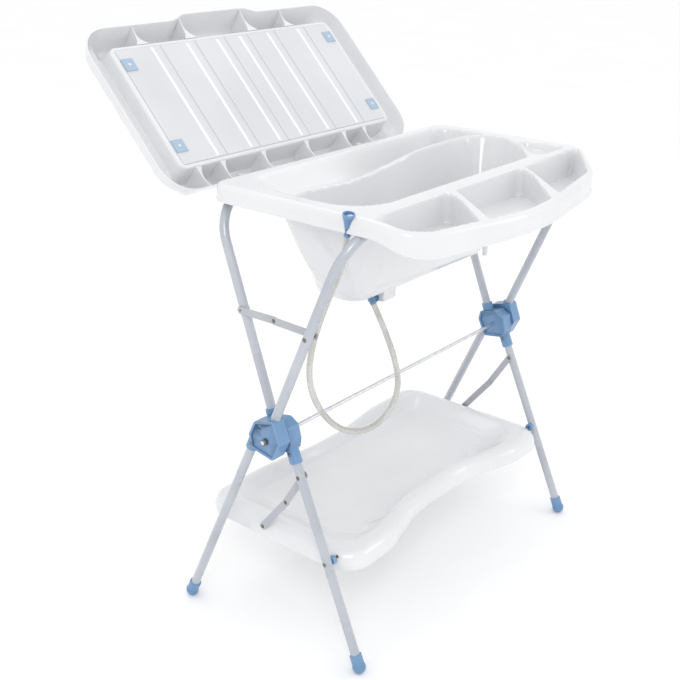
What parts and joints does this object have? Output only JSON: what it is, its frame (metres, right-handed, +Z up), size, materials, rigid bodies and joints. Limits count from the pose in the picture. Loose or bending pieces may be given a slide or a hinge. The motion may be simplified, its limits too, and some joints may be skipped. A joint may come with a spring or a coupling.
{
  "type": "bath changing table",
  "caption": "Folding X-frame stand with a baby bath, front compartments, a hinged changing top, a drain hose and a storage tray below.",
  "frame": {"origin": "on the floor at the middle of the whole part's footprint with the changing top open", "axes": "+X along the bath towards its seat end, +Y towards the changing top, +Z up"},
  "size_m": [0.8966, 0.9391, 1.1959],
  "materials": {
    "frame_paint": "smooth white-grey powder coat",
    "link_paint": "smooth grey powder coat",
    "rod_steel": "bright zinc",
    "bright_steel": "nickel",
    "blue_plastic": "satin moulding",
    "light_blue_plastic": "satin moulding",
    "white_plastic": "glossy white moulding",
    "grey_panel": "pale grey sheet",
    "clear_hose": "clear soft hose"
  },
  "bodies": {
    "main_frame": {"front_top_tube": "frame_paint", "rear_leg_left": "frame_paint", "rear_leg_right": "frame_paint", "outer_hub_left": "blue_plastic", "outer_hub_right": "blue_plastic", "cross_rod": "rod_steel", "rod_nuts": "bright_steel", "rear_feet": "blue_plastic", "outer_hub_rivets": "bright_steel", "brace_front_rivet": "bright_steel"},
    "swing_frame": {"rear_top_tube": "frame_paint", "front_leg_left": "frame_paint", "front_leg_right": "frame_paint", "inner_hub_left": "blue_plastic", "inner_hub_right": "blue_plastic", "front_feet": "blue_plastic", "inner_hub_rivets": "bright_steel", "strut_top_rivets": "bright_steel", "tray_pivot_rivets": "bright_steel", "tray_spacers": "blue_plastic", "brace_rear_rivet": "bright_steel"},
    "brace_rear": {"brace_rear_link": "link_paint"},
    "brace_front": {"brace_front_link": "link_paint", "brace_knee_rivet": "bright_steel"},
    "strut_upper_left": {"strut_upper_link_left": "link_paint", "strut_knee_rivet_left": "bright_steel"},
    "strut_upper_right": {"strut_upper_link_right": "link_paint", "strut_knee_rivet_right": "bright_steel"},
    "tray": {"storage_tray": "white_plastic", "strut_bottom_rivets": "bright_steel"},
    "strut_lower_left": {"strut_lower_link_left": "link_paint"},
    "strut_lower_right": {"strut_lower_link_right": "link_paint"},
    "bath": {"bath_tub": "white_plastic", "drain_elbow": "blue_plastic", "drain_hose": "clear_hose", "hose_plug": "blue_plastic", "lid_hinge_brackets": "white_plastic", "top_hinge_pins": "bright_steel"},
    "changing_top": {"changing_top_shell": "white_plastic", "top_panel": "grey_panel", "panel_clips": "light_blue_plastic", "clip_pins": "white_plastic"}
  },
  "joints": [
    {"name": "bath_lift", "type": "slide", "parent": "main_frame", "child": "bath", "axis": [0, 0, 1], "range_m": [0, 0.8]},
    {"name": "stand_fold", "type": "hinge", "parent": "main_frame", "child": "swing_frame", "pos_m": [0, -0.11729, 0.463], "axis": [1, 0, 0], "range_deg": [0, 40]},
    {"name": "brace_rear_pivot", "type": "hinge", "parent": "swing_frame", "child": "brace_rear", "pos_m": [-0.396, -0.01849, 0.698], "axis": [1, 0, 0], "range_deg": [-131.9, 0]},
    {"name": "brace_front_pivot", "type": "hinge", "parent": "main_frame", "child": "brace_front", "pos_m": [-0.3985, -0.21079, 0.6971], "axis": [1, 0, 0], "range_deg": [0, 75.58]},
    {"name": "tray_fold", "type": "hinge", "parent": "swing_frame", "child": "tray", "pos_m": [0, -0.23949, 0.217], "axis": [1, 0, 0], "range_deg": [0, 48]},
    {"name": "strut_upper_left_pivot", "type": "hinge", "parent": "swing_frame", "child": "strut_upper_left", "pos_m": [-0.3808, -0.16749, 0.384], "axis": [1, 0, 0], "range_deg": [-47.73, 0]},
    {"name": "strut_upper_right_pivot", "type": "hinge", "parent": "swing_frame", "child": "strut_upper_right", "pos_m": [0.3808, -0.16749, 0.384], "axis": [1, 0, 0], "range_deg": [-47.73, 0]},
    {"name": "strut_lower_left_pivot", "type": "hinge", "parent": "tray", "child": "strut_lower_left", "pos_m": [-0.3783, -0.04729, 0.216], "axis": [1, 0, 0], "range_deg": [0, 42.66]},
    {"name": "strut_lower_right_pivot", "type": "hinge", "parent": "tray", "child": "strut_lower_right", "pos_m": [0.3783, -0.04729, 0.216], "axis": [1, 0, 0], "range_deg": [0, 42.66]},
    {"name": "changing_top_hinge", "type": "hinge", "parent": "bath", "child": "changing_top", "pos_m": [0, 0.11371, 0.904], "axis": [1, 0, 0], "range_deg": [0, 133.5]}
  ],
  "couplings": [
    {"joint": "stand_fold", "follows": "bath_lift", "rad_per_m": 0.87264},
    {"joint": "brace_rear_pivot", "follows": "bath_lift", "rad_per_m": -2.8766},
    {"joint": "brace_front_pivot", "follows": "bath_lift", "rad_per_m": 1.6478},
    {"joint": "strut_upper_left_pivot", "follows": "tray_fold", "ratio": -0.99334},
    {"joint": "strut_upper_right_pivot", "follows": "tray_fold", "ratio": -0.99334},
    {"joint": "strut_lower_left_pivot", "follows": "tray_fold", "ratio": 0.88781},
    {"joint": "strut_lower_right_pivot", "follows": "tray_fold", "ratio": 0.88781}
  ]
}
